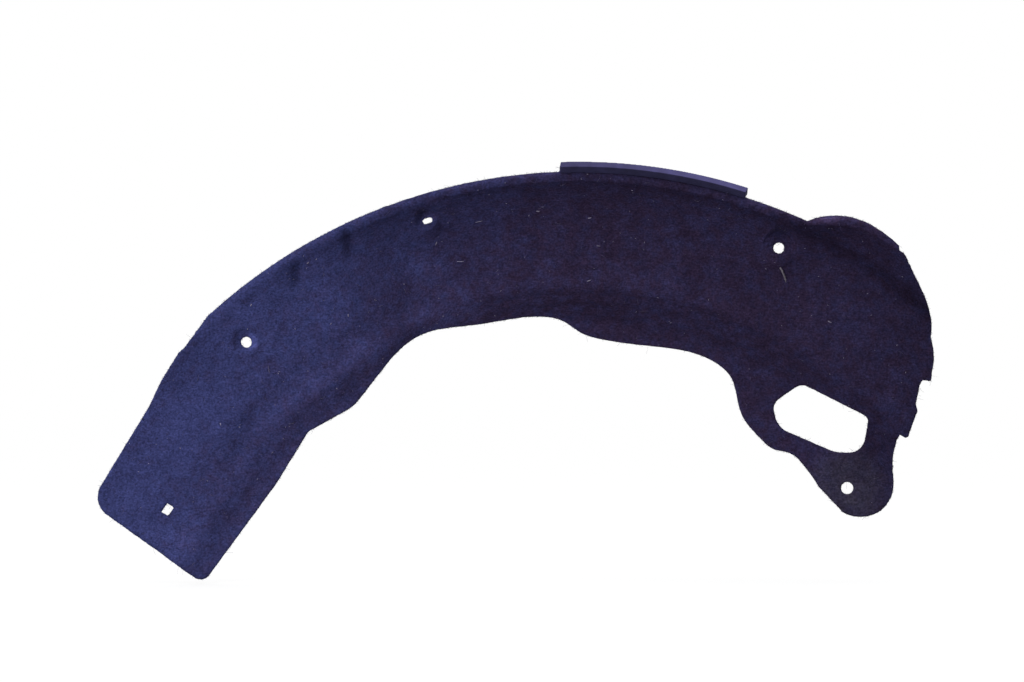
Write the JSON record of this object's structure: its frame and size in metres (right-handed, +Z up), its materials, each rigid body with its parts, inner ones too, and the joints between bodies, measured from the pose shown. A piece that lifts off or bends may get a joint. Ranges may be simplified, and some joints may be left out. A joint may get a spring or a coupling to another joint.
{
  "type": "wheel arch liner",
  "caption": "Dished arch of dark pressed needle felt that lines a car's wheel arch, with a rolled rim, fixing holes, an oval opening and a foam seal strip on the rim.",
  "frame": {"origin": "centre of the fixing hole in the end lobe, halfway through the felt", "axes": "+X along the car, towards the end with the oval opening; +Y inboard, away from the wheel; +Z up"},
  "size_m": [0.6752, 0.0924, 0.3372],
  "materials": {
    "needle_felt": "pressed needle-punched felt, matt, dark indigo",
    "foam_strip": "fine closed-cell foam, matt, near black"
  },
  "bodies": {
    "root": {"felt_liner": "needle_felt", "seal_strip": "foam_strip"}
  },
  "joints": []
}
